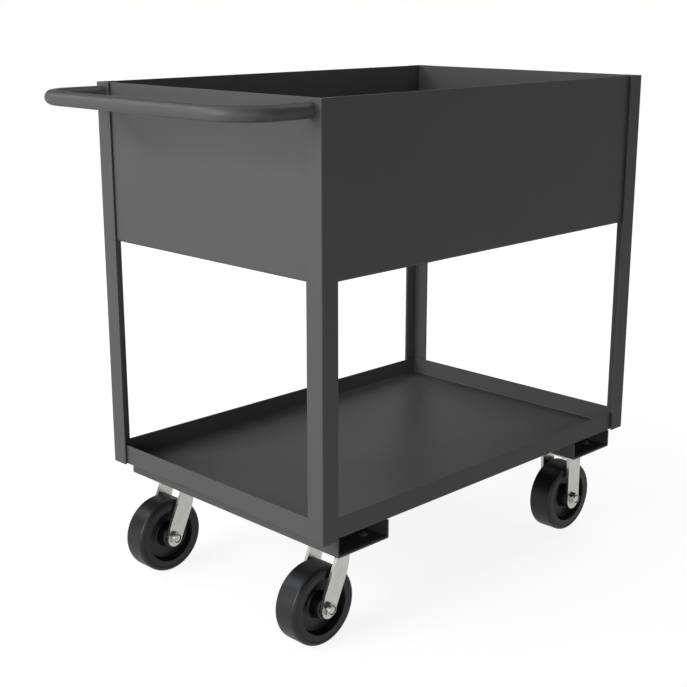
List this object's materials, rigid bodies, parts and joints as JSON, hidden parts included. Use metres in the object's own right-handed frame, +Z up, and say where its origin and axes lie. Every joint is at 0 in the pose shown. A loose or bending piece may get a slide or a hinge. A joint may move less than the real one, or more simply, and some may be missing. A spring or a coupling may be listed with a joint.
{
  "type": "stock cart",
  "caption": "Steel stock cart: deep open bin on top, shallow lipped shelf below, angle corner posts, bent tube push handle, swivel casters at the handle end and rigid casters at the far end",
  "frame": {"origin": "on the floor under the middle of the whole cart's box, handle included", "axes": "+X is the way the cart is pushed, with the handle behind at -X; +Y is the cart's left; +Z is up"},
  "size_m": [1.0793, 0.6144, 0.991],
  "materials": {
    "powder_coat": "smooth dark grey powder coat",
    "zinc_plate": "bright zinc plate",
    "moulded_wheel": "near-black moulded resin",
    "bearing_steel": "ground steel"
  },
  "bodies": {
    "cart": {"corner_post_handle_right": "powder_coat", "corner_post_handle_left": "powder_coat", "corner_post_far_right": "powder_coat", "corner_post_far_left": "powder_coat", "top_bin": "powder_coat", "lower_shelf": "powder_coat", "caster_channel_handle_end": "powder_coat", "caster_channel_far_end": "powder_coat", "push_handle": "powder_coat", "swivel_plate_left": "zinc_plate", "swivel_plate_right": "zinc_plate", "kingpin_left": "zinc_plate", "kingpin_right": "zinc_plate", "kingpin_nut_left": "zinc_plate", "kingpin_nut_right": "zinc_plate", "rigid_bracket_left": "zinc_plate", "rigid_bracket_right": "zinc_plate", "rigid_bushing_left": "zinc_plate", "rigid_bushing_right": "zinc_plate", "rigid_axle_bolt_left": "zinc_plate", "rigid_axle_bolt_right": "zinc_plate", "rigid_axle_nut_left": "zinc_plate", "rigid_axle_nut_right": "zinc_plate", "caster_bolt_01": "zinc_plate", "caster_bolt_02": "zinc_plate", "caster_bolt_03": "zinc_plate", "caster_bolt_04": "zinc_plate", "caster_bolt_05": "zinc_plate", "caster_bolt_06": "zinc_plate", "caster_bolt_07": "zinc_plate", "caster_bolt_08": "zinc_plate", "caster_bolt_09": "zinc_plate", "caster_bolt_10": "zinc_plate", "caster_bolt_11": "zinc_plate", "caster_bolt_12": "zinc_plate", "caster_bolt_13": "zinc_plate", "caster_bolt_14": "zinc_plate", "caster_bolt_15": "zinc_plate", "caster_bolt_16": "zinc_plate"},
    "left_swivel": {"fork_left": "zinc_plate", "ball_ring_left": "bearing_steel", "swivel_bushing_left": "zinc_plate", "swivel_axle_bolt_left": "zinc_plate", "swivel_axle_nut_left": "zinc_plate"},
    "right_swivel": {"fork_right": "zinc_plate", "ball_ring_right": "bearing_steel", "swivel_bushing_right": "zinc_plate", "swivel_axle_bolt_right": "zinc_plate", "swivel_axle_nut_right": "zinc_plate"},
    "left_swivel_wheel": {"swivel_wheel_left": "moulded_wheel", "swivel_bearing_left": "bearing_steel"},
    "right_swivel_wheel": {"swivel_wheel_right": "moulded_wheel", "swivel_bearing_right": "bearing_steel"},
    "left_rigid_wheel": {"rigid_wheel_left": "moulded_wheel", "rigid_bearing_left": "bearing_steel"},
    "right_rigid_wheel": {"rigid_wheel_right": "moulded_wheel", "rigid_bearing_right": "bearing_steel"}
  },
  "joints": [
    {"name": "left_swivel_turn", "type": "hinge", "parent": "cart", "child": "left_swivel", "pos_m": [-0.27482, 0.2258, 0.1822], "axis": [0, 0, 1], "continuous": true},
    {"name": "right_swivel_turn", "type": "hinge", "parent": "cart", "child": "right_swivel", "pos_m": [-0.27482, -0.2258, 0.1822], "axis": [0, 0, 1], "continuous": true},
    {"name": "left_swivel_wheel_roll", "type": "hinge", "parent": "left_swivel", "child": "left_swivel_wheel", "pos_m": [-0.32532, 0.2258, 0.076], "axis": [0, 1, 0], "continuous": true},
    {"name": "right_swivel_wheel_roll", "type": "hinge", "parent": "right_swivel", "child": "right_swivel_wheel", "pos_m": [-0.32532, -0.2258, 0.076], "axis": [0, 1, 0], "continuous": true},
    {"name": "left_rigid_wheel_roll", "type": "hinge", "parent": "cart", "child": "left_rigid_wheel", "pos_m": [0.43078, 0.2258, 0.076], "axis": [0, 1, 0], "continuous": true},
    {"name": "right_rigid_wheel_roll", "type": "hinge", "parent": "cart", "child": "right_rigid_wheel", "pos_m": [0.43078, -0.2258, 0.076], "axis": [0, 1, 0], "continuous": true}
  ]
}
